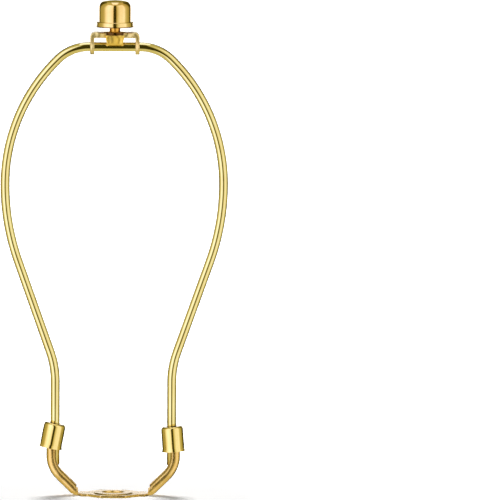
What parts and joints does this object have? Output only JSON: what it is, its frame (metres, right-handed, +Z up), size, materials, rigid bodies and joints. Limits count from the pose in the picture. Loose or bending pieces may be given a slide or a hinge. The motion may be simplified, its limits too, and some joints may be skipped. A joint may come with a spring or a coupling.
{
  "type": "lamp harp",
  "caption": "Detachable lamp harp: a wire bow standing in a stamped saddle, locked by sliding ferrules, with a tilting threaded stud and a screw-on finial that hold a lampshade.",
  "frame": {"origin": "centre of the saddle's hole, in the plane of the saddle's underside", "axes": "+Z up along the bow; the bow and the saddle's arms lie in the XZ plane; +Y to the back"},
  "size_m": [0.1142, 0.0264, 0.2498],
  "materials": {
    "saddle_plating": "polished brass plating on stamped steel",
    "wire_plating": "polished brass plating on steel wire",
    "ferrule_plating": "polished brass plating on drawn steel",
    "bracket_plating": "polished brass plating on bent steel strip",
    "cradle_brass": "polished brass",
    "stud_brass": "turned brass",
    "finial_plating": "polished brass plating on drawn sheet",
    "nut_brass": "turned brass"
  },
  "bodies": {
    "saddle": {"saddle": "saddle_plating"},
    "bow": {"bow": "wire_plating"},
    "ferrule_left": {"ferrule_left": "ferrule_plating"},
    "ferrule_right": {"ferrule_right": "ferrule_plating"},
    "bracket": {"bracket": "bracket_plating", "cradle": "cradle_brass", "stud": "stud_brass"},
    "finial": {"finial_cap": "finial_plating", "finial_nut": "nut_brass"}
  },
  "joints": [
    {"name": "bow_lift", "type": "slide", "parent": "saddle", "child": "bow", "axis": [0, 0, 1], "range_m": [0, 0.04]},
    {"name": "ferrule_left_slide", "type": "slide", "parent": "bow", "child": "ferrule_left", "axis": [0, 0, 1], "range_m": [0, 0.02]},
    {"name": "ferrule_right_slide", "type": "slide", "parent": "bow", "child": "ferrule_right", "axis": [0, 0, 1], "range_m": [0, 0.02]},
    {"name": "bracket_tilt", "type": "hinge", "parent": "bow", "child": "bracket", "pos_m": [0, 0, 0.2263], "axis": [1, 0, 0], "continuous": true},
    {"name": "finial_unscrew", "type": "slide", "parent": "bracket", "child": "finial", "axis": [0, 0, 1], "range_m": [-0.0021, 0.02]}
  ]
}
